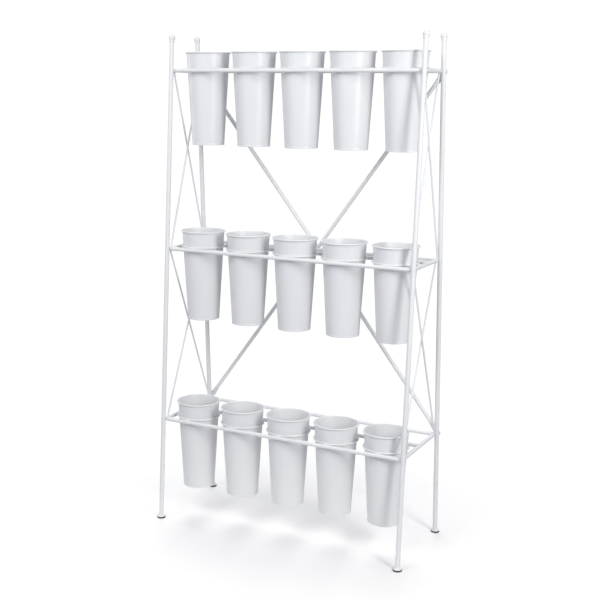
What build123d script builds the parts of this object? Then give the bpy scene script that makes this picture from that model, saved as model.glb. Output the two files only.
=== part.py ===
from build123d import *
from math import cos, hypot, radians, sin, sqrt
import os

os.makedirs("parts", exist_ok=True)

# Overall size. The origin is on the floor under the middle of the rack,
# X runs along the tiers, -Y is the side that the buckets face.
overall_height = 1500
half_width = 401
half_depth_floor = 159

# Tubes, rods and wire
leg_radius = 7
leg_wall = 1.2
rail_radius = 6
rod_radius = 2.75
ring_wire_radius = 2.75
brace_radius = 6

# Tiers
lowest_tier = 321
tier_spacing = 537
tier_names = ["bottom", "middle", "top"]
tier_heights = [lowest_tier + tier_spacing * i for i in range(3)]
bucket_count = 5
bucket_pitch = 159

# Buckets, measured from their own bottom edge
bucket_height = 277
bucket_drop = 221.9
bucket_base_radius = 48.6
bucket_top_radius = 64.9
bucket_wall = 1.0
bucket_floor_height = 6
rim_bead_radius = 2.3
rim_outer_radius = 68.8
rim_height = bucket_height - rim_bead_radius

# Each loop nests inside the four legs and touches them at its rounded corners
rail_inset = 6.2
leg_contact = leg_radius + rail_radius
corner_radius = (leg_contact - sqrt(2) * rail_inset) / (sqrt(2) - 1)

# A ring lies on the inner shoulder of the rails, and the bucket wedges into it
ring_lift = 6.6
ring_shift = sqrt((rail_radius + ring_wire_radius) ** 2 - ring_lift**2)
wall_slope = (bucket_top_radius - bucket_base_radius) / rim_height
ring_level_radius = bucket_base_radius + wall_slope * (bucket_drop + ring_lift)
ring_radius = ring_level_radius + 0.35 + ring_wire_radius
rail_spacing = 2 * (ring_radius + ring_shift)

# The top loop is exactly one ring deep, which sets how far the legs lean
half_depth_top_tier = rail_spacing / 2 + rail_inset
lean = (half_depth_floor - half_depth_top_tier) / tier_heights[2]

# Feet and finials
pad_radius = 11.6
pad_thickness = 3
flange_radius = 12
flange_height = 12
finial_radius = 10
finial_skirt_radius = 8.4
finial_height = 22
socket_depth = 8

# Brace
tab_width = 17
tab_thickness = 3
tab_length = 21
flatten_length = 26
tab_plane = leg_radius + tab_thickness / 2
brace_top = tier_heights[2] - 3.5
brace_bottom = tier_heights[0] + 1
rising_offset = 6.2
falling_offset = 10.8
falling_bow = 7.6
bolt_radius = 3
bolt_head_radius = 5.4
bolt_flange_radius = 6.8


def half_depth(height):
    """Distance from the rack's middle plane to a leg's axis."""
    return half_depth_floor - lean * height


def leg_plane(side, face):
    """Plane across a leg at the floor, its Z up the leg's axis."""
    foot = (side * half_width, face * half_depth_floor, 0)
    return Plane(origin=foot, x_dir=(1, 0, 0), z_dir=(0, -face * lean, 1))


def finish(part, name):
    part.label = name
    export_step(part, f"parts/{name}.step")


slant = sqrt(1 + lean**2)
corners = [(side, face) for face in (-1, 1) for side in (-1, 1)]
side_names = {-1: "left", 1: "right"}
face_names = {-1: "front", 1: "back"}

# Legs: steel tube, cut level at the foot, capped by the finial at the top
finial_top = overall_height * slant
leg_end = finial_top - finial_height + socket_depth
legs = {}
for side, face in corners:
    with BuildPart() as leg:
        with BuildSketch(leg_plane(side, face).offset(-4)):
            Circle(leg_radius)
            Circle(leg_radius - leg_wall, mode=Mode.SUBTRACT)
        extrude(amount=leg_end + 4)
        split(bisect_by=Plane.XY.offset(pad_thickness), keep=Keep.TOP)
        if face == 1:
            # rivet nut holes in the back, where the brace ends are bolted on
            for height in (brace_top, brace_bottom):
                seat = Plane(
                    origin=(side * half_width, half_depth(height), height),
                    x_dir=(1, 0, 0),
                    z_dir=(0, 1, lean),
                )
                with BuildSketch(seat):
                    Circle(bolt_radius + 1.3)
                extrude(amount=leg_radius + 2, mode=Mode.SUBTRACT)
    name = f"{face_names[face]}_{side_names[side]}_leg"
    legs[(side, face)] = leg.part
    finish(leg.part, name)

# Finials: a ball cap with a short skirt that the leg's end seats in
for side, face in corners:
    with BuildPart() as finial:
        axis_plane = leg_plane(side, face)
        profile_plane = Plane(
            origin=axis_plane.origin + axis_plane.z_dir * finial_top,
            x_dir=(1, 0, 0),
            z_dir=axis_plane.x_dir.cross(axis_plane.z_dir),
        )
        neck = sqrt(finial_radius**2 - finial_skirt_radius**2) + finial_radius
        with BuildSketch(profile_plane):
            with BuildLine():
                ThreePointArc(
                    (0, 0),
                    (finial_radius * sin(radians(60)), finial_radius * (cos(radians(60)) - 1)),
                    (finial_skirt_radius, -neck),
                )
                Line((finial_skirt_radius, -neck), (finial_skirt_radius, 0.6 - finial_height))
                Line(
                    (finial_skirt_radius, 0.6 - finial_height),
                    (finial_skirt_radius - 0.6, -finial_height),
                )
                Line((finial_skirt_radius - 0.6, -finial_height), (leg_radius, -finial_height))
                Line((leg_radius, -finial_height), (leg_radius, socket_depth - finial_height))
                Line((leg_radius, socket_depth - finial_height), (0, socket_depth - finial_height))
                Line((0, socket_depth - finial_height), (0, 0))
            make_face()
        revolve(axis=Axis(profile_plane.origin, axis_plane.z_dir))
    finish(finial.part, f"{face_names[face]}_{side_names[side]}_finial")

# Feet: a bell-shaped flange round the leg's end, over a rubber pad
for side, face in corners:
    foot = Plane(
        origin=(side * half_width, face * half_depth_floor, 0),
        x_dir=(1, 0, 0),
        z_dir=(0, -1, 0),
    )
    with BuildPart() as flange:
        with BuildSketch(foot):
            with BuildLine():
                base = (0, pad_thickness)
                toe = (flange_radius, pad_thickness)
                lip = (flange_radius, pad_thickness + 1.8)
                throat = (leg_radius + 1, pad_thickness + flange_height)
                Polyline((0, pad_thickness + flange_height), base, toe, lip)
                ThreePointArc(
                    lip,
                    (leg_radius + 2.1, pad_thickness + 0.42 * flange_height),
                    throat,
                )
                Line(throat, (0, pad_thickness + flange_height))
            make_face()
        revolve(axis=Axis((side * half_width, face * half_depth_floor, 0), (0, 0, 1)))
        with BuildSketch(leg_plane(side, face).offset(-4)):
            Circle(leg_radius)
        extrude(amount=30, mode=Mode.SUBTRACT)
    finish(flange.part, f"{face_names[face]}_{side_names[side]}_foot_flange")

with BuildPart() as foot_pads:
    for side, face in corners:
        with BuildSketch(Plane.XY):
            with Locations((side * half_width, face * half_depth_floor)):
                Circle(pad_radius)
        extrude(amount=pad_thickness)
    chamfer(foot_pads.edges().group_by(Axis.Z)[0], length=0.8)
    # a stem pressed up each leg's bore keeps the pad in place
    for side, face in corners:
        stem_plane = leg_plane(side, face)
        with BuildSketch(stem_plane.offset(pad_thickness - 1)):
            Circle(leg_radius - leg_wall - 0.1)
        extrude(amount=12)
finish(foot_pads.part, "foot_pads")

# Loops: one bent tube for each tier, closed by a weld in its back run
loops = {}
for tier, height in zip(tier_names, tier_heights):
    half_x = half_width - rail_inset
    half_y = half_depth(height) - rail_inset
    with BuildPart() as loop:
        with BuildLine() as route:
            FilletPolyline(
                (0, -half_y, height),
                (half_x, -half_y, height),
                (half_x, half_y, height),
                (0, half_y, height),
                radius=corner_radius,
            )
        with BuildSketch(Plane(origin=(0, -half_y, height), z_dir=(1, 0, 0))):
            Circle(rail_radius)
        sweep(path=route.wire())
        mirror(about=Plane.YZ)
    loops[tier] = loop.part
    finish(loop.part, f"{tier}_tier_loop")

# Ring rails: the lower loops are deeper than a ring, so a rail crosses them
for tier, height in zip(tier_names[:2], tier_heights[:2]):
    rail_y = rail_spacing - half_depth(height) + rail_inset
    reach = half_width - rail_inset - rail_radius / 2
    with BuildPart() as rail:
        with BuildSketch(Plane(origin=(-reach, rail_y, height), z_dir=(1, 0, 0))):
            Circle(rail_radius)
        extrude(amount=2 * reach)
        add(loops[tier], mode=Mode.SUBTRACT)
    finish(rail.part, f"{tier}_tier_ring_rail")

# Rings and buckets, numbered from the left as the rack is faced
for tier, height in zip(tier_names, tier_heights):
    seat_y = -half_depth(height) + rail_inset + rail_spacing / 2
    for number in range(bucket_count):
        seat_x = (number - (bucket_count - 1) / 2) * bucket_pitch
        with BuildPart() as ring:
            with Locations((seat_x, seat_y, height + ring_lift)):
                Torus(ring_radius, ring_wire_radius)
        finish(ring.part, f"{tier}_ring_{number + 1}")

        upright = Plane(
            origin=(seat_x, seat_y, height - bucket_drop),
            x_dir=(1, 0, 0),
            z_dir=(0, -1, 0),
        )
        floor_radius = bucket_base_radius + wall_slope * bucket_floor_height
        with BuildPart() as bucket:
            with BuildSketch(upright):
                # wall, floor and the lapped seam that stands out round the base
                with BuildLine():
                    Polyline(
                        (0, bucket_floor_height),
                        (floor_radius - bucket_wall, bucket_floor_height),
                        (bucket_base_radius - bucket_wall, 0),
                        (bucket_base_radius + 0.4, 0),
                        (floor_radius + 0.4, bucket_floor_height - 0.5),
                        (floor_radius, bucket_floor_height),
                        (bucket_top_radius, rim_height),
                        (bucket_top_radius - bucket_wall, rim_height),
                        (floor_radius - bucket_wall, bucket_floor_height + bucket_wall),
                        (0, bucket_floor_height + bucket_wall),
                        close=True,
                    )
                make_face()
                # the rim is rolled outwards into a bead
                with Locations((rim_outer_radius - rim_bead_radius, bucket_height - rim_bead_radius)):
                    Circle(rim_bead_radius)
            revolve(axis=Axis(upright.origin, (0, 0, 1)))
        finish(bucket.part, f"{tier}_bucket_{number + 1}")

# Side rods: two crosses on each end frame, welded to the loops' corners.
# In each pair one rod passes outside the other.
for side in (-1, 1):
    for level, (low, high) in zip(("lower", "upper"), ((0, 1), (1, 2))):
        for kind, face, inset_x, inset_y in (("falling", 1, 4.5, 8.1), ("rising", -1, 10.0, 5.0)):
            foot_z = tier_heights[low]
            head_z = tier_heights[high]
            x = side * (half_width - inset_x)
            start = Vector(x, face * (half_depth(foot_z) - inset_y), foot_z)
            end = Vector(x, -face * (half_depth(head_z) - inset_y), head_z)
            along = (end - start).normalized()
            with BuildPart() as rod:
                with BuildSketch(Plane(origin=start + along * 3, x_dir=(1, 0, 0), z_dir=along)):
                    Circle(rod_radius)
                extrude(amount=(end - start).length - 6)
                add(loops[tier_names[low]], mode=Mode.SUBTRACT)
                add(loops[tier_names[high]], mode=Mode.SUBTRACT)
                add(legs[(side, face)], mode=Mode.SUBTRACT)
                add(legs[(side, -face)], mode=Mode.SUBTRACT)
            finish(rod.part, f"{side_names[side]}_{level}_{kind}_rod")

# Brace: two tubes crossed behind the back legs, their ends pressed flat and
# bolted through the legs. One tube bows back to pass behind the other.
back_plane = Plane(
    origin=(0, half_depth_floor, 0),
    x_dir=(1, 0, 0),
    z_dir=(0, 1, lean),
)
up_the_legs = back_plane.y_dir * (1 if back_plane.y_dir.Z > 0 else -1)
low_reach = brace_bottom * slant
high_reach = brace_top * slant


def round_profile():
    """The brace tube's own section, drawn with the same edges as its flat end."""
    RectangleRounded(2 * brace_radius, 2 * brace_radius, brace_radius - 0.1)


def flat_profile():
    """The tube's section where it is pressed flat."""
    RectangleRounded(tab_width, tab_thickness, tab_thickness / 2 - 0.1)


def brace_tube(fall, offset, bow):
    """One brace tube; fall is 1 where it runs down to the right."""
    top = Vector(-fall * half_width, high_reach)
    bottom = Vector(fall * half_width, low_reach)
    run = bottom - top
    length = hypot(run.X, run.Y)
    # X along the tube, Y up and across it, Z straight back from the legs
    origin = back_plane.origin + back_plane.x_dir * top.X + up_the_legs * top.Y
    along = back_plane.x_dir * (run.X / length) + up_the_legs * (run.Y / length)
    frame = Plane(origin=origin, x_dir=along, z_dir=back_plane.z_dir)

    def across(x, z):
        return Plane(
            origin=frame.from_local_coords((x, 0, z)), x_dir=frame.y_dir, z_dir=along
        )

    # each end: the bolt hole, where the flat stops, where the tube is round again
    ends = [
        (0, tab_length, tab_length + flatten_length),
        (length, length - tab_length, length - tab_length - flatten_length),
    ]
    tabs = []
    for hole_x, flat_x, _ in ends:
        reach = hole_x - flat_x
        reach += tab_width / 2 if reach > 0 else -tab_width / 2
        with BuildPart() as tab:
            with BuildSketch(across(flat_x, tab_plane)):
                flat_profile()
            extrude(amount=reach)
            with BuildSketch(frame.offset(leg_radius - 1)):
                with Locations((hole_x, 0)):
                    Circle(tab_width / 2)
                with Locations(((hole_x + flat_x) / 2, 0)):
                    Rectangle(abs(hole_x - flat_x), tab_width + 2)
            extrude(amount=tab_thickness + 2, mode=Mode.INTERSECT)
            with BuildSketch(frame.offset(leg_radius - 1)):
                with Locations((hole_x, 0)):
                    Circle(bolt_radius + 0.25)
            extrude(amount=tab_thickness + 2, mode=Mode.SUBTRACT)
        tabs.append(tab.part)

    first_x = ends[0][2]
    last_x = ends[1][2]
    route_points = [
        frame.from_local_coords((first_x, 0, offset)),
        frame.from_local_coords((length / 2, 0, offset + bow)),
        frame.from_local_coords((last_x, 0, offset)),
    ]
    with BuildPart() as tube:
        with BuildLine() as route:
            if bow:
                Spline(*route_points, tangents=(along, along))
            else:
                Line(route_points[0], route_points[2])
        with BuildSketch(across(first_x, offset)):
            round_profile()
        sweep(path=route.line)
        for _, flat_x, round_x in ends:
            with BuildSketch(across(flat_x, tab_plane)):
                flat_profile()
            with BuildSketch(across(round_x, offset)):
                round_profile()
            loft(ruled=True)
        add(tabs)
    return tube.part


finish(brace_tube(1, falling_offset, falling_bow), "falling_brace_tube")
finish(brace_tube(-1, rising_offset, 0), "rising_brace_tube")

# Brace bolts: domed heads with a flange, screwed into rivet nuts in the legs
bolt_spots = [(side, height) for side in (-1, 1) for height in (brace_bottom, brace_top)]
with BuildPart() as brace_bolts:
    for side, height in bolt_spots:
        seat = Plane(
            origin=(side * half_width, half_depth(height), height),
            x_dir=(1, 0, 0),
            z_dir=(0, 1, lean),
        )
        under_head = leg_radius + tab_thickness
        with BuildSketch(seat.offset(under_head)):
            Circle(bolt_flange_radius)
        extrude(amount=1.2)
        with BuildSketch(seat.offset(under_head + 1.2)):
            Circle(bolt_head_radius)
        head = extrude(amount=3.4)
        fillet(head.faces().sort_by(Axis.Y)[-1].edges(), radius=2.2)
        with BuildSketch(seat.offset(under_head + 4.6)):
            RegularPolygon(2.0, 6)
        extrude(amount=-2.2, mode=Mode.SUBTRACT)
        with BuildSketch(seat.offset(under_head)):
            Circle(bolt_radius)
        extrude(amount=-11)
finish(brace_bolts.part, "brace_bolts")

with BuildPart() as rivet_nuts:
    for side, height in bolt_spots:
        seat = Plane(
            origin=(side * half_width, half_depth(height), height),
            x_dir=(1, 0, 0),
            z_dir=(0, 1, lean),
        )
        with BuildSketch(seat.offset(-1.5)):
            Circle(bolt_radius + 1.25)
            Circle(bolt_radius + 0.05, mode=Mode.SUBTRACT)
        extrude(amount=leg_radius + 1.3)
finish(rivet_nuts.part, "brace_rivet_nuts")
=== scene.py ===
import math
import random

import bmesh
import bpy
from mathutils import Matrix, Vector


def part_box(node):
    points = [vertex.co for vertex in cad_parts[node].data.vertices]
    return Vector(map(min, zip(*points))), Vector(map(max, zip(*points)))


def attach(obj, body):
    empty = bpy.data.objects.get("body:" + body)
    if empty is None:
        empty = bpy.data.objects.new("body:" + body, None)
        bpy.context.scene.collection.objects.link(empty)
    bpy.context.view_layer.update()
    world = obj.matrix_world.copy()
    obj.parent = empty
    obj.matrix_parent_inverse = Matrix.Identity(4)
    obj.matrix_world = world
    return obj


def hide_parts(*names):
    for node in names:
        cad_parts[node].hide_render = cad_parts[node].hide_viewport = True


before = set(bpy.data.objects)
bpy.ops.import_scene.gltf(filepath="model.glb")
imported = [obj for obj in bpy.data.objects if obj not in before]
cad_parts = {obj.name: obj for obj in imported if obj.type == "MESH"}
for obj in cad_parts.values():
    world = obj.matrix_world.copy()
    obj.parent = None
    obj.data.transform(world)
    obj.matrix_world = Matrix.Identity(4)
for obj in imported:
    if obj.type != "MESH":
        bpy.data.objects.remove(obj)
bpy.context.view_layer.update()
scene = bpy.context.scene
scene.view_settings.view_transform = "Standard"
print("frame loaded:", len(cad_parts), "nodes")

mm = 0.001
tierNames = ["bottom", "middle", "top"]

# What the frame says: where each tier, bucket and ring is
rack = {
    "halfWidth": 401 * mm,
    "halfDepthFloor": 159 * mm,
    "legRadius": 7 * mm,
    "railRadius": 6 * mm,
    "railInset": 6.2 * mm,
    "bucketsPerTier": 5,
}


def boxMiddle(node):
    low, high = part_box(node)
    return (low + high) / 2


rack["tierHeights"] = [boxMiddle(f"{tier}_tier_loop").z for tier in tierNames]
rack["loopHalfDepths"] = [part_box(f"{tier}_tier_loop")[1].y - rack["railRadius"] for tier in tierNames]
rack["halfDepths"] = [y + rack["railInset"] for y in rack["loopHalfDepths"]]


# Node graphs

class Wire:
    # one socket of a node; arithmetic on it adds Math nodes to its graph
    def __init__(self, graph, socket):
        self.graph = graph
        self.socket = socket

    def maths(self, operation, *others):
        return self.graph.maths(operation, self, *others)

    def pick(self, output):
        return Wire(self.graph, self.socket.node.outputs[output])

    def __add__(self, other):
        return self.maths("ADD", other)

    def __sub__(self, other):
        return self.maths("SUBTRACT", other)

    def __mul__(self, other):
        return self.maths("MULTIPLY", other)

    def __truediv__(self, other):
        return self.maths("DIVIDE", other)

    def __rsub__(self, other):
        return self.graph.maths("SUBTRACT", other, self)

    __radd__ = __add__


class Graph:
    def __init__(self, tree):
        self.tree = tree

    def add(self, kind, settings=None, values=None, out=0):
        node = self.tree.nodes.new(kind)
        for name, value in (settings or {}).items():
            setattr(node, name, value)
        for name, value in (values or {}).items():
            if isinstance(value, Wire):
                self.tree.links.new(value.socket, node.inputs[name])
            else:
                node.inputs[name].default_value = value
        return Wire(self, node.outputs[out]) if len(node.outputs) else node

    def maths(self, operation, *values):
        return self.add("ShaderNodeMath", {"operation": operation}, dict(enumerate(values)))

    def blend(self, amount, first, second):
        return self.add("ShaderNodeMix", {"data_type": "RGBA"}, {0: amount, 6: first, 7: second}, 2)

    def between(self, value, low, high):
        # 0 at low, 1 at high, eased
        return self.add(
            "ShaderNodeMapRange",
            {"interpolation_type": "SMOOTHSTEP"},
            {"Value": value, "From Min": low, "From Max": high},
        )

    def noise(self, where, scale, detail=2.0, rough=0.5, stretch=None):
        if stretch:
            where = self.add("ShaderNodeMapping", {}, {"Vector": where, "Scale": stretch})
        return self.add(
            "ShaderNodeTexNoise", {}, {"Vector": where, "Scale": scale, "Detail": detail, "Roughness": rough}
        )


def newPaint(name):
    material = bpy.data.materials.new(name)
    material.use_nodes = True
    material.node_tree.nodes.clear()
    graph = Graph(material.node_tree)
    place = graph.add("ShaderNodeTexCoord", {}, {}, "Object")
    return material, graph, place


def finishPaint(graph, sockets):
    surface = graph.add("ShaderNodeBsdfPrincipled", {}, sockets)
    graph.add("ShaderNodeOutputMaterial", {}, {"Surface": surface})


# Finishes

coat = {
    "white": (0.77, 0.775, 0.78, 1),
    "thin": (0.705, 0.71, 0.715, 1),
    "dust": (0.74, 0.735, 0.72, 1),
    "peelScale": 620,
    "peelDepth": 0.015 * mm,
    "roughness": 0.42,
}


def makeFrameCoat():
    material, graph, place = newPaint("frameCoat")
    axes = graph.add("ShaderNodeSeparateXYZ", {}, {0: place})
    height = axes.pick("Z")
    cloud = graph.noise(place, 9, 3)
    # the coat is thinner where tubes meet, so it reads a little greyer there
    first, last = rack["tierHeights"][0], rack["tierHeights"][2]
    spacing = (last - first) / 2
    step = ((height - first) / spacing).maths("ADD", 0.5)
    away = (step.maths("FRACT") - 0.5).maths("ABSOLUTE") * spacing
    side = axes.pick("X").maths("ABSOLUTE")
    joint = (1 - graph.between(away, 4 * mm, 22 * mm)) * graph.between(side, 0.372, 0.392)
    joint = joint * graph.between(graph.noise(place, 140, 3), 0.35, 0.7)
    normal = graph.add("ShaderNodeNewGeometry", {}, {}, "Normal")
    upward = graph.between(graph.add("ShaderNodeSeparateXYZ", {}, {0: normal}).pick("Z"), 0.6, 1.0)
    dust = upward * graph.between(graph.noise(place, 60, 4), 0.42, 0.8) * 0.35
    tone = graph.blend(joint * 0.5, coat["white"], coat["thin"])
    tone = graph.blend(dust, tone, coat["dust"])
    tone = graph.blend(graph.between(cloud, 0.3, 0.75) * 0.25, tone, coat["thin"])
    peel = graph.noise(place, coat["peelScale"], 1.5, 0.4)
    bump = graph.add(
        "ShaderNodeBump", {}, {"Strength": 0.35, "Distance": coat["peelDepth"], "Height": peel}
    )
    finishPaint(graph, {
        "Base Color": tone,
        "Roughness": coat["roughness"] + (cloud - 0.5) * 0.1 + dust * 0.3,
        "Normal": bump,
    })
    return material


bucketPaint = {
    "white": (0.755, 0.76, 0.768, 1),
    "rubbed": (0.625, 0.63, 0.64, 1),
    "grime": (0.60, 0.60, 0.60, 1),
    "roughness": 0.36,
    "peelScale": 480,
    "peelDepth": 0.05 * mm,
    "waveDepth": 0.5 * mm,
    "contactHalf": 5 * mm,
}


def makeBucketPaint():
    material, graph, place = newPaint("bucketPaint")
    axes = graph.add("ShaderNodeSeparateXYZ", {}, {0: place})
    ringLevel = boxMiddle("bottom_ring_1").z
    spacing = (rack["tierHeights"][2] - rack["tierHeights"][0]) / 2
    step = ((axes.pick("Z") - ringLevel) / spacing).maths("ADD", 0.5)
    fromRing = (step.maths("FRACT") - 0.5) * spacing
    # lifting the bucket in and out rubs the paint where the ring grips it
    streaks = graph.noise(place, 260, 3, 0.6, (1, 1, 0.12))
    band = 1 - graph.between(fromRing.maths("ABSOLUTE"), 1 * mm, bucketPaint["contactHalf"] * 2)
    rubbed = band * graph.between(streaks, 0.5, 0.78) * 0.5
    # a little dirt sits above the hem round the base
    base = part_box("bottom_bucket_1")[0].z
    fromBase = fromRing + (ringLevel - base)
    hem = graph.between(fromBase, 4 * mm, 6.4 * mm) * (1 - graph.between(fromBase, 6.6 * mm, 12 * mm))
    grime = hem * graph.between(graph.noise(place, 90, 4), 0.4, 0.75) * 0.4
    cloud = graph.noise(place, 7, 3)
    tone = graph.blend(graph.between(cloud, 0.3, 0.75) * 0.12, bucketPaint["white"], bucketPaint["rubbed"])
    tone = graph.blend(rubbed, tone, bucketPaint["rubbed"])
    tone = graph.blend(grime, tone, bucketPaint["grime"])
    peel = graph.noise(place, bucketPaint["peelScale"], 1.5, 0.4)
    wave = graph.noise(place, 14, 2, 0.5, (1, 1, 0.3))
    fine = graph.add(
        "ShaderNodeBump", {}, {"Strength": 0.3, "Distance": bucketPaint["peelDepth"], "Height": peel}
    )
    bump = graph.add("ShaderNodeBump", {}, {
        "Strength": 0.35, "Distance": bucketPaint["waveDepth"], "Height": wave, "Normal": fine,
    })
    finishPaint(graph, {
        "Base Color": tone,
        "Roughness": bucketPaint["roughness"] + (cloud - 0.5) * 0.08 + rubbed * 0.25 + grime * 0.5,
        "Normal": bump,
    })
    return material


rubber = {"black": (0.018, 0.018, 0.019, 1), "bloom": (0.06, 0.058, 0.055, 1), "roughness": 0.72}


def makePadRubber():
    material, graph, place = newPaint("padRubber")
    bloom = graph.between(graph.noise(place, 240, 4, 0.6), 0.4, 0.8)
    tone = graph.blend(bloom * 0.6, rubber["black"], rubber["bloom"])
    bump = graph.add("ShaderNodeBump", {}, {
        "Strength": 0.4, "Distance": 0.15 * mm, "Height": graph.noise(place, 900, 3, 0.6),
    })
    finishPaint(graph, {
        "Base Color": tone, "Roughness": rubber["roughness"] + bloom * 0.15, "Normal": bump,
    })
    return material


zinc = {"bright": (0.56, 0.57, 0.58, 1), "dull": (0.36, 0.37, 0.38, 1), "roughness": 0.38}


def makeZincPlate():
    material, graph, place = newPaint("zincPlate")
    spangle = graph.between(graph.noise(place, 500, 3, 0.6), 0.35, 0.7)
    bump = graph.add("ShaderNodeBump", {}, {
        "Strength": 0.3, "Distance": 0.05 * mm, "Height": graph.noise(place, 1500, 2),
    })
    finishPaint(graph, {
        "Base Color": graph.blend(spangle, zinc["dull"], zinc["bright"]),
        "Metallic": 1.0,
        "Roughness": zinc["roughness"] + spangle * 0.12,
        "Normal": bump,
    })
    return material


frameCoat = makeFrameCoat()
bucketCoat = makeBucketPaint()
padRubber = makePadRubber()
zincPlate = makeZincPlate()
print("finishes made: frameCoat, bucketPaint, padRubber, zincPlate")

for name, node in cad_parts.items():
    finish = frameCoat
    if name == "foot_pads":
        finish = padRubber
    elif name == "brace_rivet_nuts":
        finish = zincPlate
    elif "_bucket_" in name:
        finish = bucketCoat
    for index in range(max(1, len(node.material_slots))):
        if index < len(node.material_slots):
            node.material_slots[index].material = finish
        else:
            node.data.materials.append(finish)


# Mesh helpers

def newPiece(name, mesh, finish):
    piece = bpy.data.objects.new(name, mesh)
    scene.collection.objects.link(piece)
    mesh.materials.clear()
    mesh.materials.append(finish)
    return piece


def softShade(mesh, degrees=38):
    # smooth faces, with a hard edge wherever two faces meet more steeply
    work = bmesh.new()
    work.from_mesh(mesh)
    bmesh.ops.remove_doubles(work, verts=work.verts, dist=1e-6)
    bmesh.ops.recalc_face_normals(work, faces=work.faces)
    for face in work.faces:
        face.smooth = True
    for edge in work.edges:
        edge.smooth = len(edge.link_faces) == 2 and edge.calc_face_angle(0) < math.radians(degrees)
    work.to_mesh(mesh)
    work.free()


# Buckets

bucket = {
    "baseRadius": 48.6 * mm,
    "topRadius": 64.9 * mm,
    "wall": 0.9 * mm,
    "beadRadius": 2.3 * mm,
    "hemHeight": 5.6 * mm,
    "hemProud": 0.45 * mm,
    "floorHeight": 6 * mm,
    "floorRise": 1.4 * mm,
    "seamWidth": 7 * mm,
    "seamProud": 0.4 * mm,
    "seamAway": 52,
    "segments": 120,
}


def arc(centre, radius, start, end, count):
    for i in range(count + 1):
        turn = math.radians(start + (end - start) * i / count)
        yield (centre[0] + radius * math.cos(turn), centre[1] + radius * math.sin(turn))


def bucketProfile(height):
    # radius and height from the middle of the underside, out round the hem, up
    # the wall, over the rolled rim and down the inside to the middle of the floor;
    # the flag says how far a point stands out at the side seam
    s = bucket
    beadLevel = height - s["beadRadius"]
    slope = (s["topRadius"] - s["baseRadius"]) / beadLevel

    def wallAt(z):
        return s["baseRadius"] + slope * z

    floor = s["floorHeight"]
    panel = 0.72 * s["baseRadius"]
    hemIn = wallAt(0) - 1.7 * mm
    points = [(0, floor + s["floorRise"], 0), (panel, floor + s["floorRise"], 0)]
    points += [(panel + 2.2 * mm, floor, 0), (hemIn - 0.8 * mm, floor, 0)]
    points += [(r, z, 0) for r, z in arc((hemIn - 0.8 * mm, floor - 0.8 * mm), 0.8 * mm, 90, 0, 3)]
    points += [(r, z, 0) for r, z in arc((hemIn + 1.0 * mm, 1.0 * mm), 1.0 * mm, 180, 270, 4)]
    hemOut = wallAt(0) + s["hemProud"]
    points += [(r, z, 0) for r, z in arc((hemOut - 0.9 * mm, 0.9 * mm), 0.9 * mm, -90, 0, 5)]
    hemTop = s["hemHeight"]
    points += [(wallAt(hemTop) + s["hemProud"], hemTop - 0.5 * mm, 0)]
    points += [(wallAt(hemTop) + 0.6 * s["hemProud"], hemTop - 0.1 * mm, 0)]
    points += [(wallAt(hemTop), hemTop + 0.15 * mm, 1)]
    rows = 14
    joinLevel = beadLevel - 0.68 * s["beadRadius"]
    for i in range(1, rows + 1):
        z = hemTop + 0.15 * mm + (joinLevel - hemTop - 0.15 * mm) * i / rows
        points.append((wallAt(z), z, 1))
    bead = (wallAt(beadLevel) + 1.6 * mm, beadLevel)
    points += [(r, z, 0.35) for r, z in arc(bead, s["beadRadius"], -134, 160, 18)]
    inside = [joinLevel + 0.4 * mm] + [
        joinLevel - (joinLevel - floor - 3 * mm) * i / 8 for i in range(1, 9)
    ]
    points += [(wallAt(z) - s["wall"], z, 0) for z in inside]
    foot = (wallAt(floor) - s["wall"] - 2 * mm, floor + s["wall"] + 2 * mm)
    points += [(r, z, 0) for r, z in arc(foot, 2 * mm, -10, -90, 4)]
    points += [(panel + 2.2 * mm, floor + s["wall"], 0)]
    points += [(panel, floor + s["floorRise"] + s["wall"], 0)]
    points += [(0, floor + s["floorRise"] + s["wall"], 0)]
    return points


def seamAngles(seam):
    s = bucket
    half = s["seamWidth"] / 2 / s["topRadius"]
    turns = [math.tau * i / s["segments"] for i in range(s["segments"])]
    turns = [t for t in turns if abs((t - seam + math.pi) % math.tau - math.pi) > half * 1.5]
    edge = 0.5 * mm / s["topRadius"]
    lap = (-half - edge, -half, -half / 3, half / 3, half - edge * 3, half)
    turns += [(seam + t) % math.tau for t in lap]
    return sorted(turns)


def makeBucket(name, seam, chance):
    low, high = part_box(name)
    centre = (low + high) / 2
    s = bucket
    profile = bucketProfile(high.z - low.z)
    half = s["seamWidth"] / 2 / s["topRadius"]
    wobble = chance.uniform(0, math.tau)
    work = bmesh.new()
    rings = []
    for turn in seamAngles(seam):
        off = (turn - seam + math.pi) % math.tau - math.pi
        lap = 1.0 if abs(off) <= half + 1e-6 else 0.0
        oval = 0.12 * mm * math.cos(2 * turn + wobble)
        column = []
        for radius, z, share in profile:
            if radius == 0:
                column.append(None)
                continue
            up = z / (high.z - low.z)
            r = radius + share * lap * s["seamProud"] + oval * up
            column.append(work.verts.new((
                centre.x + r * math.sin(turn), centre.y - r * math.cos(turn), low.z + z,
            )))
        rings.append(column)
    under = work.verts.new((centre.x, centre.y, low.z + profile[0][1]))
    floor = work.verts.new((centre.x, centre.y, low.z + profile[-1][1]))
    for now, after in zip(rings, rings[1:] + rings[:1]):
        for i in range(1, len(profile) - 2):
            work.faces.new((now[i], after[i], after[i + 1], now[i + 1]))
        work.faces.new((under, after[1], now[1]))
        work.faces.new((floor, now[-2], after[-2]))
    mesh = bpy.data.meshes.new(name + "_shell")
    work.to_mesh(mesh)
    work.free()
    softShade(mesh, 42)
    piece = newPiece(name + "_shell", mesh, bucketCoat)
    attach(piece, name)
    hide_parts(name)


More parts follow.
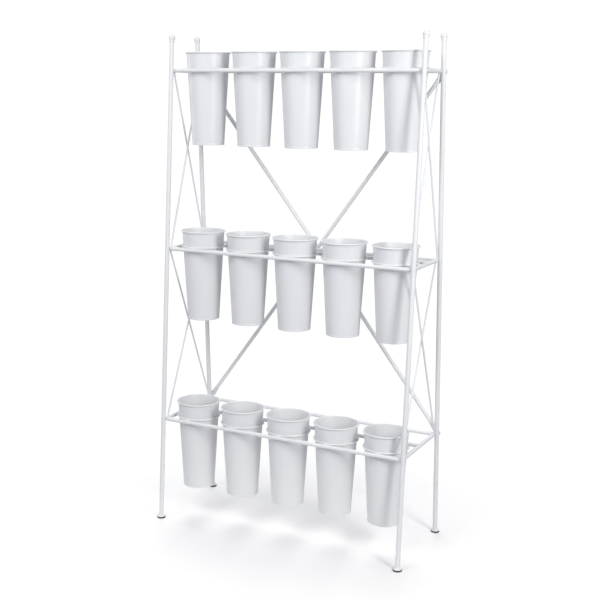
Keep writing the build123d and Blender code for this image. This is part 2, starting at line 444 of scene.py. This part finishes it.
chance = random.Random(15)
for tier in tierNames:
    for number in range(1, rack["bucketsPerTier"] + 1):
        seamTurn = math.pi + math.radians(chance.uniform(-bucket["seamAway"], bucket["seamAway"]))
        makeBucket(f"{tier}_bucket_{number}", seamTurn, chance)
print("buckets made:", 3 * rack["bucketsPerTier"])


# Pieces grown by Geometry Nodes

def newTree(name, settings):
    # each of the settings becomes an input of the tree, under its own name
    tree = bpy.data.node_groups.new(name, "GeometryNodeTree")
    tree.interface.new_socket("Geometry", in_out="INPUT", socket_type="NodeSocketGeometry")
    for label, value in settings.items():
        kind = "NodeSocketInt" if isinstance(value, int) else "NodeSocketFloat"
        tree.interface.new_socket(label, in_out="INPUT", socket_type=kind).default_value = value
    tree.interface.new_socket("Finish", in_out="INPUT", socket_type="NodeSocketMaterial")
    tree.interface.new_socket("Geometry", in_out="OUTPUT", socket_type="NodeSocketGeometry")
    graph = Graph(tree)
    given = graph.add("NodeGroupInput")
    return tree, graph, given


def endTree(graph, instances, given):
    solid = graph.add("GeometryNodeRealizeInstances", {}, {0: instances})
    smooth = graph.add("GeometryNodeSetShadeSmooth", {}, {"Geometry": solid})
    dressed = graph.add("GeometryNodeSetMaterial", {}, {"Geometry": smooth, "Material": given.pick("Finish")})
    graph.add("NodeGroupOutput", {}, {0: dressed})


def upright(at):
    return {"at": at, "turn": (0, 0, 0), "size": (1, 1, 1)}


def pointCloud(name, places):
    # a mesh of loose vertices, each with the turn and the size of what stands on it
    mesh = bpy.data.meshes.new(name)
    mesh.from_pydata([place["at"] for place in places], [], [])
    for label in ("turn", "size"):
        layer = mesh.attributes.new(label, "FLOAT_VECTOR", "POINT")
        for i, place in enumerate(places):
            layer.data[i].vector = place[label]
    return mesh


def turnOf(along, outward):
    # Euler turn that lays X along the joint and points Z out of it
    along = Vector(along).normalized()
    outward = Vector(outward)
    outward = (outward - along * outward.dot(along)).normalized()
    sideways = outward.cross(along)
    return Matrix((along, sideways, outward)).transposed().to_euler("XYZ")


def bake(name, source, tree, finish):
    carrier = newPiece(name + "_points", source, finish)
    modifier = carrier.modifiers.new("grow", "NODES")
    modifier.node_group = tree
    for item in tree.interface.items_tree:
        if item.name == "Finish":
            modifier[item.identifier] = finish
    graphNow = bpy.context.evaluated_depsgraph_get()
    mesh = bpy.data.meshes.new_from_object(carrier.evaluated_get(graphNow))
    carrier.modifiers.clear()
    bpy.data.objects.remove(carrier)
    work = bmesh.new()
    work.from_mesh(mesh)
    bmesh.ops.recalc_face_normals(work, faces=work.faces)
    work.to_mesh(mesh)
    work.free()
    return newPiece(name, mesh, finish)


# Rings: bent wire, each closed by a small butt weld turned somewhere behind
ringWire = {
    "segments": 96,
    "sides": 16,
    "lump": 0.22 * mm,
    "lumpWidth": 3.2 * mm,
    "weldFrom": 0.35 * math.pi,
    "weldTo": 0.65 * math.pi,
    "seed": 3,
}


def makeRings():
    names = [f"{tier}_ring_{n}" for tier in tierNames for n in range(1, rack["bucketsPerTier"] + 1)]
    low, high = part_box(names[0])
    wireRadius = (high.z - low.z) / 2
    ringRadius = (high.x - low.x) / 2 - wireRadius
    tree, graph, given = newTree("bentWireRings", {
        **ringWire, "ringRadius": ringRadius, "wireRadius": wireRadius,
    })
    hoop = graph.add("GeometryNodeCurvePrimitiveCircle", {}, {
        "Resolution": given.pick("segments"), "Radius": given.pick("ringRadius"),
    })
    place = graph.add("GeometryNodeInputPosition")
    axes = graph.add("ShaderNodeSeparateXYZ", {}, {0: place})
    fromSide = (axes.pick("X") - given.pick("ringRadius")).maths("ABSOLUTE")
    fromWeld = fromSide + axes.pick("Y").maths("ABSOLUTE")
    near = 1 - graph.between(fromWeld, 0.0, given.pick("lumpWidth"))
    thick = 1 + near * given.pick("lump") / given.pick("wireRadius")
    hoop = graph.add("GeometryNodeSetCurveRadius", {}, {"Curve": hoop, "Radius": thick})
    section = graph.add("GeometryNodeCurvePrimitiveCircle", {}, {
        "Resolution": given.pick("sides"), "Radius": given.pick("wireRadius"),
    })
    wire = graph.add("GeometryNodeCurveToMesh", {}, {
        "Curve": hoop, "Profile Curve": section, "Scale": graph.add("GeometryNodeInputRadius"),
    })
    spin = graph.add("FunctionNodeRandomValue", {"data_type": "FLOAT"}, {
        2: given.pick("weldFrom"), 3: given.pick("weldTo"), "Seed": given.pick("seed"),
    }, 1)
    turned = graph.add("ShaderNodeCombineXYZ", {}, {"Z": spin})
    placed = graph.add("GeometryNodeInstanceOnPoints", {}, {
        "Points": given, "Instance": wire, "Rotation": turned,
    })
    endTree(graph, placed, given)
    places = [upright(boxMiddle(name)) for name in names]
    piece = bake("wire_rings", pointCloud("ringSeats", places), tree, frameCoat)
    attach(piece, "rack")
    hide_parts(*names)
    print("rings made:", len(names), "with", len(piece.data.polygons), "faces")


makeRings()

# Welds: short rows of drops under the paint, wherever two tubes or wires meet
weld = {
    "dropRadius": 1.5 * mm,
    "dropStep": 1.3 * mm,
    "drops": 5,
    "flatten": 0.62,
    "ripple": 0.22,
    "subdivisions": 2,
    "seed": 7,
}
spotsRound = 12


def weldTree():
    tree, graph, given = newTree("weldBeads", weld)
    reach = (given.pick("drops") - 1) * given.pick("dropStep")
    start = graph.add("ShaderNodeCombineXYZ", {}, {"X": reach * -0.5})
    stride = graph.add("ShaderNodeCombineXYZ", {}, {"X": given.pick("dropStep")})
    row = graph.add("GeometryNodeMeshLine", {"mode": "OFFSET"}, {
        "Count": given.pick("drops"), "Start Location": start, "Offset": stride,
    })
    drop = graph.add("GeometryNodeMeshIcoSphere", {}, {
        "Radius": given.pick("dropRadius"), "Subdivisions": given.pick("subdivisions"),
    })
    swell = graph.add("FunctionNodeRandomValue", {"data_type": "FLOAT"}, {
        2: 1 - given.pick("ripple"), 3: 1 + given.pick("ripple"), "Seed": given.pick("seed"),
    }, 1)
    flat = graph.add("ShaderNodeCombineXYZ", {}, {
        "X": swell, "Y": swell, "Z": swell * given.pick("flatten"),
    })
    bead = graph.add("GeometryNodeInstanceOnPoints", {}, {"Points": row, "Instance": drop, "Scale": flat})
    bead = graph.add("GeometryNodeRealizeInstances", {}, {0: bead})
    turn = graph.add("GeometryNodeInputNamedAttribute", {"data_type": "FLOAT_VECTOR"}, {"Name": "turn"})
    size = graph.add("GeometryNodeInputNamedAttribute", {"data_type": "FLOAT_VECTOR"}, {"Name": "size"})
    placed = graph.add("GeometryNodeInstanceOnPoints", {}, {
        "Points": given, "Instance": bead, "Rotation": turn, "Scale": size,
    })
    endTree(graph, placed, given)
    return tree


def ringRailWelds():
    # each ring touches a rail at its front and another at its back
    for tier, height in zip(tierNames, rack["tierHeights"]):
        for number in range(1, rack["bucketsPerTier"] + 1):
            low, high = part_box(f"{tier}_ring_{number}")
            seat = (low + high) / 2
            wireRadius = (high.z - low.z) / 2
            ringRadius = (high.x - low.x) / 2 - wireRadius
            lift = seat.z - height
            shift = math.sqrt((rack["railRadius"] + wireRadius) ** 2 - lift ** 2)
            for face in (-1, 1):
                toRing = Vector((0, -face * shift, lift)).normalized()
                rail = Vector((seat.x, seat.y + face * (ringRadius + shift), height))
                outward = Vector((0, face * lift, shift)).normalized()
                at = rail + toRing * rack["railRadius"] + outward * 1.2 * mm
                yield {"at": at, "turn": turnOf((1, 0, 0), outward), "size": (1.25, 1, 1)}


def cornerWelds():
    # each loop touches the legs at its rounded corners
    for height, depth in zip(rack["tierHeights"], rack["halfDepths"]):
        for side in (-1, 1):
            for face in (-1, 1):
                inward = Vector((-side, -face, 0)).normalized()
                leg = Vector((side * rack["halfWidth"], face * depth, height))
                across = Vector((0, 0, 1)).cross(inward)
                for up in (-1, 1):
                    rise = 3.4 * mm
                    at = leg + inward * (rack["legRadius"] + 0.6 * mm) + Vector((0, 0, up * rise))
                    outward = (inward * -0.2 + Vector((0, 0, up))).normalized()
                    yield {"at": at, "turn": turnOf(across, outward), "size": (1.15, 1.2, 1.1)}


# Side rods: the face where each rod of a cross has its foot, and how far inside the
# legs' line its axis ends, sideways and front to back
rodSeats = ((1, 4.5 * mm, 8.1 * mm), (-1, 10.0 * mm, 5.0 * mm))


def rodEnds():
    for side in (-1, 1):
        for low, high in ((0, 1), (1, 2)):
            for face, insetX, insetY in rodSeats:
                x = side * (rack["halfWidth"] - insetX)
                footZ, headZ = rack["tierHeights"][low], rack["tierHeights"][high]
                foot = Vector((x, face * (rack["halfDepths"][low] - insetY), footZ))
                head = Vector((x, -face * (rack["halfDepths"][high] - insetY), headZ))
                yield side, face, foot, head


def rodWelds():
    for side, face, foot, head in rodEnds():
        along = (head - foot).normalized()
        for end, way in ((foot, along), (head, -along)):
            at = end + way * 6.6 * mm
            for out in (-1, 1):
                spot = at + Vector((out * 2.2 * mm, 0, 0))
                yield {
                    "at": spot,
                    "turn": turnOf((0, 1, 0), (out, 0, math.copysign(0.8, way.z))),
                    "size": (0.8, 0.9, 0.9),
                }


def crossingWelds():
    # the two rods of a cross are tacked together where they pass
    for side in (-1, 1):
        pairs = [(foot, head) for s, face, foot, head in rodEnds() if s == side]
        for falling, rising in (pairs[0:2], pairs[2:4]):
            (a, b), (c, d) = falling, rising
            ab, cd = b - a, d - c
            # both run in their own upright plane, so they cross where y and z agree
            det = ab.y * -cd.z + cd.y * ab.z
            t = ((c.y - a.y) * -cd.z + cd.y * (c.z - a.z)) / det
            at = a + ab * t
            at.x = (a.x + c.x) / 2
            for up in (-1, 1):
                yield {
                    "at": at + Vector((0, 0, up * 2.1 * mm)),
                    "turn": turnOf((0, 1, 0), (0, 0, up)),
                    "size": (0.55, 0.9, 0.9),
                }


def railEndWelds():
    # a ring rail butts against the loop's side runs: two equal tubes meet along a
    # curve that stands as far from the loop's axis as from the rail's
    for tier, height in zip(tierNames[:2], rack["tierHeights"]):
        low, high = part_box(f"{tier}_tier_ring_rail")
        radius = rack["railRadius"]
        for side in (-1, 1):
            axis = Vector((side * (rack["halfWidth"] - rack["railInset"]), (low.y + high.y) / 2, height))
            for i in range(spotsRound):
                turn = math.tau * i / spotsRound
                y, z = math.cos(turn), math.sin(turn)
                at = axis + Vector((-side * abs(y), y, z)) * (radius + 0.3 * mm)
                outward = Vector((-side * abs(y), y, 2 * z))
                along = Vector((side * z * math.copysign(1, y), -z, y))
                yield {"at": at, "turn": turnOf(along, outward), "size": (0.62, 0.8, 0.7)}


def buttWelds():
    # each loop is closed by a weld round the tube in the middle of its back run
    for height, depth in zip(rack["tierHeights"], rack["loopHalfDepths"]):
        for i in range(spotsRound):
            turn = math.tau * i / spotsRound
            outward = Vector((0, math.cos(turn), math.sin(turn)))
            at = Vector((0, depth, height)) + outward * (rack["railRadius"] - 0.1 * mm)
            along = Vector((0, -math.sin(turn), math.cos(turn)))
            yield {"at": at, "turn": turnOf(along, outward), "size": (0.62, 1.0, 0.55)}


def makeWelds():
    places = []
    for joints in (ringRailWelds, cornerWelds, rodWelds, crossingWelds, railEndWelds, buttWelds):
        places += joints()
    piece = bake("weld_beads", pointCloud("weldPlaces", places), weldTree(), frameCoat)
    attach(piece, "rack")
    print("welds made:", len(places), "with", len(piece.data.polygons), "faces")


makeWelds()

# Foot pads: a rubber disc with a lip that grips the flange's edge
pad = {
    "discRadius": 11.4 * mm,
    "discThickness": 2.9 * mm,
    "lipRadius": 12.2 * mm,
    "lipWidth": 1.5 * mm,
    "lipHeight": 4.6 * mm,
    "lipFillet": 0.6 * mm,
    "filletSteps": 4,
    "segments": 72,
}


def padTree():
    tree, graph, given = newTree("footPads", pad)
    hoop = graph.add("GeometryNodeCurvePrimitiveCircle", {}, {
        "Resolution": given.pick("segments"), "Radius": given.pick("lipRadius"),
    })
    section = graph.add("GeometryNodeCurvePrimitiveQuadrilateral", {}, {
        "Width": given.pick("lipWidth"), "Height": given.pick("lipHeight"),
    })
    section = graph.add("GeometryNodeFilletCurve", {"mode": "POLY"}, {
        "Curve": section, "Radius": given.pick("lipFillet"), "Count": given.pick("filletSteps"),
    })
    lip = graph.add("GeometryNodeCurveToMesh", {}, {"Curve": hoop, "Profile Curve": section})
    lipRise = graph.add("ShaderNodeCombineXYZ", {}, {"Z": given.pick("lipHeight") / 2})
    lip = graph.add("GeometryNodeTransform", {}, {"Geometry": lip, "Translation": lipRise})
    disc = graph.add("GeometryNodeMeshCylinder", {}, {
        "Vertices": given.pick("segments"), "Radius": given.pick("discRadius"),
        "Depth": given.pick("discThickness"),
    })
    discRise = graph.add("ShaderNodeCombineXYZ", {}, {"Z": given.pick("discThickness") / 2})
    disc = graph.add("GeometryNodeTransform", {}, {"Geometry": disc, "Translation": discRise})
    # a join takes all its geometry through the one socket
    both = graph.add("GeometryNodeJoinGeometry", {}, {0: lip})
    tree.links.new(disc.socket, both.socket.node.inputs[0])
    placed = graph.add("GeometryNodeInstanceOnPoints", {}, {"Points": given, "Instance": both})
    endTree(graph, placed, given)
    return tree


def makePads():
    places = [
        upright((side * rack["halfWidth"], face * rack["halfDepthFloor"], 0))
        for side in (-1, 1)
        for face in (-1, 1)
    ]
    piece = bake("foot_pad_caps", pointCloud("padSeats", places), padTree(), padRubber)
    softShade(piece.data, 50)
    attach(piece, "rack")
    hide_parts("foot_pads")
    print("foot pads made:", len(places), "with", len(piece.data.polygons), "faces")


makePads()


# Floor, light and camera

studio = {
    "floorSize": 8,
    "floorWhite": (0.87, 0.86, 0.85, 1),
    "floorShade": (0.85, 0.84, 0.83, 1),
    "floorLift": 0.03,
    "fadeFrom": 0.2,
    "fadeTo": 1.0,
    "worldLight": 0.39,
    "worldTint": (0.93, 0.97, 1.05, 1),
    "background": 1.05,
}


def makeFloor():
    mesh = bpy.data.meshes.new("studioFloor")
    half = studio["floorSize"] / 2
    corners = [(-half, -half, 0), (half, -half, 0), (half, half, 0), (-half, half, 0)]
    mesh.from_pydata(corners, [], [(0, 1, 2, 3)])
    material, graph, place = newPaint("studioPaper")
    grain = graph.noise(place, 3, 2)
    # the paper fades into the white background away from the rack
    away = graph.add("ShaderNodeVectorMath", {"operation": "LENGTH"}, {0: place}, "Value")
    finishPaint(graph, {
        "Base Color": graph.blend(grain * 0.3, studio["floorWhite"], studio["floorShade"]),
        "Roughness": 0.9,
        "Alpha": 1 - graph.between(away, studio["fadeFrom"], studio["fadeTo"]),
        "Emission Color": (1, 1, 1, 1),
        "Emission Strength": studio["floorLift"],
    })
    floor = newPiece("studio_floor", mesh, material)


def makeWorld():
    world = bpy.data.worlds.new("studioAir")
    scene.world = world
    world.use_nodes = True
    world.node_tree.nodes.clear()
    graph = Graph(world.node_tree)
    light = graph.add(
        "ShaderNodeBackground", {}, {"Color": studio["worldTint"], "Strength": studio["worldLight"]}
    )
    seen = graph.add("ShaderNodeBackground", {}, {"Color": (1, 1, 1, 1), "Strength": studio["background"]})
    ray = graph.add("ShaderNodeLightPath", {}, {}, "Is Camera Ray")
    both = graph.add("ShaderNodeMixShader", {}, {0: ray, 1: light, 2: seen})
    graph.add("ShaderNodeOutputWorld", {}, {"Surface": both})


lights = [
    # azimuth 0 is in front of the rack and 90 to its right; sizes are width and height
    {"name": "keyBox", "azimuth": 60, "elevation": 15, "away": 2.6, "size": (0.6, 1.0), "power": 24},
    {"name": "highBox", "azimuth": 58, "elevation": 32, "away": 2.8, "size": (0.8, 1.4), "power": 14},
    {"name": "fillBox", "azimuth": -20, "elevation": 38, "away": 3.0, "size": (2.0, 2.0), "power": 37},
    {"name": "lowBox", "azimuth": -24, "elevation": 12, "away": 3.0, "size": (2.0, 2.0), "power": 6},
    {"name": "leftBox", "azimuth": -95, "elevation": 12, "away": 3.0, "size": (0.8, 2.0), "power": 13},
    {"name": "rightBox", "azimuth": 95, "elevation": 16, "away": 3.0, "size": (0.8, 2.0), "power": 6},
    {"name": "backBox", "azimuth": -150, "elevation": 50, "away": 4.2, "size": (2.4, 2.4), "power": 90},
]


def makeLights():
    target = Vector((0, 0, 0.8))
    for box in lights:
        data = bpy.data.lights.new(box["name"], "AREA")
        data.energy = box["power"]
        data.shape = "RECTANGLE"
        data.size, data.size_y = box["size"]
        lamp = bpy.data.objects.new(box["name"], data)
        scene.collection.objects.link(lamp)
        turn, lift = math.radians(box["azimuth"]), math.radians(box["elevation"])
        way = Vector((math.sin(turn) * math.cos(lift), -math.cos(turn) * math.cos(lift), math.sin(lift)))
        lamp.location = target + way * box["away"]
        lamp.rotation_euler = way.to_track_quat("Z", "Y").to_euler()


camera = {
    "at": (1.4237, -2.8773, 1.3468),
    "yaw": 28.222,
    "pitch": 11.099,
    "roll": 0.396,
    "focalPixels": 1083.8,
    "imagePixels": 600,
    "middleX": 264,
}


def makeCamera():
    data = bpy.data.cameras.new("photoCamera")
    data.sensor_width = 36
    data.lens = camera["focalPixels"] / camera["imagePixels"] * data.sensor_width
    data.shift_x = (camera["imagePixels"] / 2 - camera["middleX"]) / camera["imagePixels"]
    data.clip_end = 100
    view = bpy.data.objects.new("photoCamera", data)
    scene.collection.objects.link(view)
    turn = (
        Matrix.Rotation(math.radians(camera["yaw"]), 4, "Z")
        @ Matrix.Rotation(math.radians(90 - camera["pitch"]), 4, "X")
        @ Matrix.Rotation(math.radians(camera["roll"]), 4, "Z")
    )
    view.matrix_world = Matrix.Translation(camera["at"]) @ turn
    scene.camera = view


makeFloor()
makeWorld()
makeLights()
makeCamera()
print("studio made")
